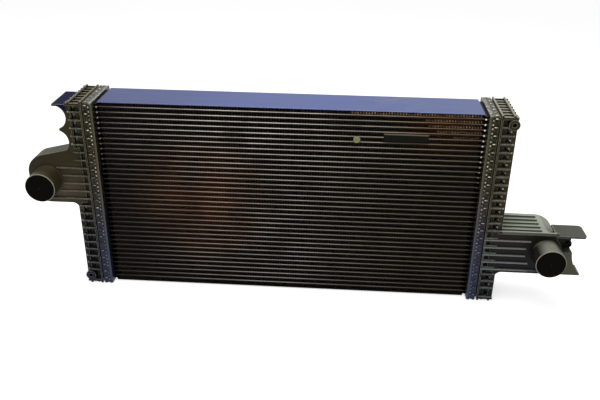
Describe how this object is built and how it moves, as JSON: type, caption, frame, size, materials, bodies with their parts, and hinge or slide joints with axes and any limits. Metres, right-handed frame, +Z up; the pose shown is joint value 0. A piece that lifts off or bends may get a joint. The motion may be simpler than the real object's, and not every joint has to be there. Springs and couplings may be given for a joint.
{
  "type": "radiator",
  "caption": "Flat cross-flow heat exchanger with a tube-and-fin core between two ribbed side tanks, each with a round hose port on a side duct and a mounting bracket.",
  "frame": {"origin": "middle of the footprint on the surface that the tanks' end ridges stand on", "axes": "+X along the tubes towards the tank with the low hose port, +Y from the face with the hose ports to the back, +Z up"},
  "size_m": [1.132, 0.1614, 0.4125],
  "materials": {
    "tube_metal": "brazed, dull silver grey",
    "fin_foil": "thin rolled foil, dull",
    "side_plate_metal": "rolled sheet, satin",
    "header_metal": "pressed sheet, satin",
    "seal_rubber": "matt",
    "tank_plastic": "moulded glass-filled nylon, semi-matt",
    "cap_plastic": "moulded soft polyethylene",
    "screw_steel": "black oxide"
  },
  "bodies": {
    "root": {"tube_01": "tube_metal", "tube_02": "tube_metal", "tube_03": "tube_metal", "tube_04": "tube_metal", "tube_05": "tube_metal", "tube_06": "tube_metal", "tube_07": "tube_metal", "tube_08": "tube_metal", "tube_09": "tube_metal", "tube_10": "tube_metal", "tube_11": "tube_metal", "tube_12": "tube_metal", "tube_13": "tube_metal", "tube_14": "tube_metal", "tube_15": "tube_metal", "tube_16": "tube_metal", "tube_17": "tube_metal", "tube_18": "tube_metal", "tube_19": "tube_metal", "tube_20": "tube_metal", "tube_21": "tube_metal", "tube_22": "tube_metal", "tube_23": "tube_metal", "tube_24": "tube_metal", "tube_25": "tube_metal", "tube_26": "tube_metal", "tube_27": "tube_metal", "tube_28": "tube_metal", "tube_29": "tube_metal", "tube_30": "tube_metal", "tube_31": "tube_metal", "tube_32": "tube_metal", "tube_33": "tube_metal", "tube_34": "tube_metal", "tube_35": "tube_metal", "tube_36": "tube_metal", "cooling_fins": "fin_foil", "upper_side_plate": "side_plate_metal", "lower_side_plate": "side_plate_metal", "left_header_plate": "header_metal", "right_header_plate": "header_metal", "left_gasket": "seal_rubber", "right_gasket": "seal_rubber", "left_tank": "tank_plastic", "right_tank": "tank_plastic", "left_port_cap": "cap_plastic", "right_port_cap": "cap_plastic", "bracket_screw": "screw_steel"}
  },
  "joints": []
}
